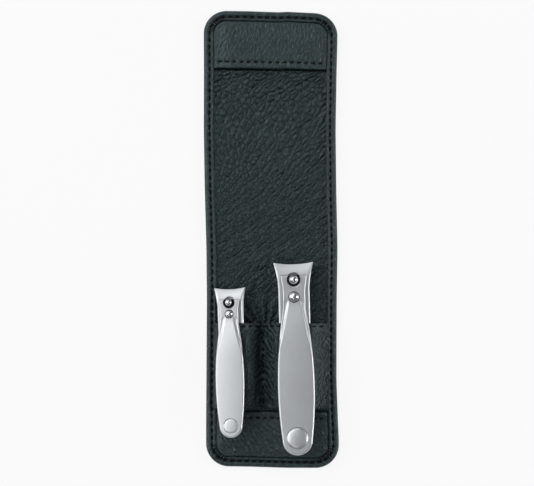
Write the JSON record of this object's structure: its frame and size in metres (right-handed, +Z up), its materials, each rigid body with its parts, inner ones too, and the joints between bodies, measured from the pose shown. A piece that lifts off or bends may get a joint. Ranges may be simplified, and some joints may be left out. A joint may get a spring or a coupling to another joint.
{
  "type": "travel manicure case",
  "caption": "Long folding leather case with a pleated pocket front that holds a small and a large nail clipper; it folds over its spine and closes by a hidden magnet.",
  "frame": {"origin": "on the table under the middle of the open case", "axes": "+X across the case, +Y from the pockets to the flap, +Z up, away from the table"},
  "size_m": [0.055, 0.19, 0.0164],
  "materials": {
    "outer_leather": "fine-grained black leather, turned over the edge",
    "lining_leather": "pebbled black leather",
    "smooth_leather": "smooth black leather with fine wrinkles",
    "board": "grey-brown pressed board",
    "thread": "twisted black polyester thread",
    "magnet": "flat flexible magnet",
    "satin_steel": "satin stainless steel",
    "polished_steel": "polished stainless steel"
  },
  "bodies": {
    "lower_half": {"outer_cover_lower": "outer_leather", "stiffener_lower": "board", "lining_lower": "lining_leather", "pocket_front": "lining_leather", "pocket_band": "smooth_leather", "edge_stitching_lower": "thread", "pocket_band_stitching": "thread", "pocket_hem_stitching": "thread", "pocket_divider_stitching": "thread"},
    "spine": {"outer_cover_spine": "outer_leather", "stiffener_spine": "board", "lining_spine": "lining_leather", "edge_stitching_spine": "thread"},
    "upper_half": {"outer_cover_upper": "outer_leather", "stiffener_upper": "board", "lining_upper": "lining_leather", "closure_band": "smooth_leather", "closure_magnet": "magnet", "edge_stitching_upper": "thread", "closure_band_stitching": "thread"},
    "large_clipper": {"large_upper_jaw": "satin_steel", "large_tail_rivet": "satin_steel"},
    "large_lower_leaf": {"large_lower_jaw": "satin_steel", "large_drive_pin": "polished_steel"},
    "large_lever_arm": {"large_lever": "satin_steel", "large_fulcrum_rivet": "polished_steel", "large_lever_disc": "polished_steel"},
    "small_clipper": {"small_upper_jaw": "satin_steel", "small_tail_rivet": "satin_steel"},
    "small_lower_leaf": {"small_lower_jaw": "satin_steel", "small_drive_pin": "polished_steel"},
    "small_lever_arm": {"small_lever": "satin_steel", "small_fulcrum_rivet": "polished_steel", "small_lever_disc": "polished_steel"}
  },
  "joints": [
    {"name": "case_fold", "type": "hinge", "parent": "lower_half", "child": "spine", "pos_m": [0, -0.00775, 0.0038], "axis": [1, 0, 0], "range_deg": [0, 90]},
    {"name": "flap_fold", "type": "hinge", "parent": "spine", "child": "upper_half", "pos_m": [0, 0.00775, 0.0038], "axis": [1, 0, 0], "range_deg": [0, 90]},
    {"name": "large_clipper_slide", "type": "slide", "parent": "lower_half", "child": "large_clipper", "axis": [0.0253, -0.9997, 0], "range_m": [-0.04, 0]},
    {"name": "large_lever_press", "type": "hinge", "parent": "large_clipper", "child": "large_lever_arm", "pos_m": [0.00975, -0.024, 0.00847], "axis": [0.9997, 0.0253, 0], "range_deg": [0, 7], "stiffness_Nm_per_rad": 0.4, "springref_deg": -8.59},
    {"name": "large_jaw_close", "type": "hinge", "parent": "large_clipper", "child": "large_lower_leaf", "pos_m": [0.01072, -0.06249, 0.0045], "axis": [0.9997, 0.0253, 0], "range_deg": [0, 1.12]},
    {"name": "small_clipper_slide", "type": "slide", "parent": "lower_half", "child": "small_clipper", "axis": [0.0297, -0.9996, 0], "range_m": [-0.04, 0]},
    {"name": "small_lever_press", "type": "hinge", "parent": "small_clipper", "child": "small_lever_arm", "pos_m": [-0.01695, -0.03107, 0.00875], "axis": [0.9898, 0.0294, 0.1392], "range_deg": [0, 6.5], "stiffness_Nm_per_rad": 0.4, "springref_deg": -8.59},
    {"name": "small_jaw_close", "type": "hinge", "parent": "small_clipper", "child": "small_lower_leaf", "pos_m": [-0.01553, -0.06354, 0.00549], "axis": [0.9898, 0.0294, 0.1392], "range_deg": [0, 0.846]}
  ],
  "couplings": [
    {"joint": "flap_fold", "follows": "case_fold", "ratio": 1},
    {"joint": "large_jaw_close", "follows": "large_lever_press", "ratio": 0.15847},
    {"joint": "small_jaw_close", "follows": "small_lever_press", "ratio": 0.12869}
  ]
}
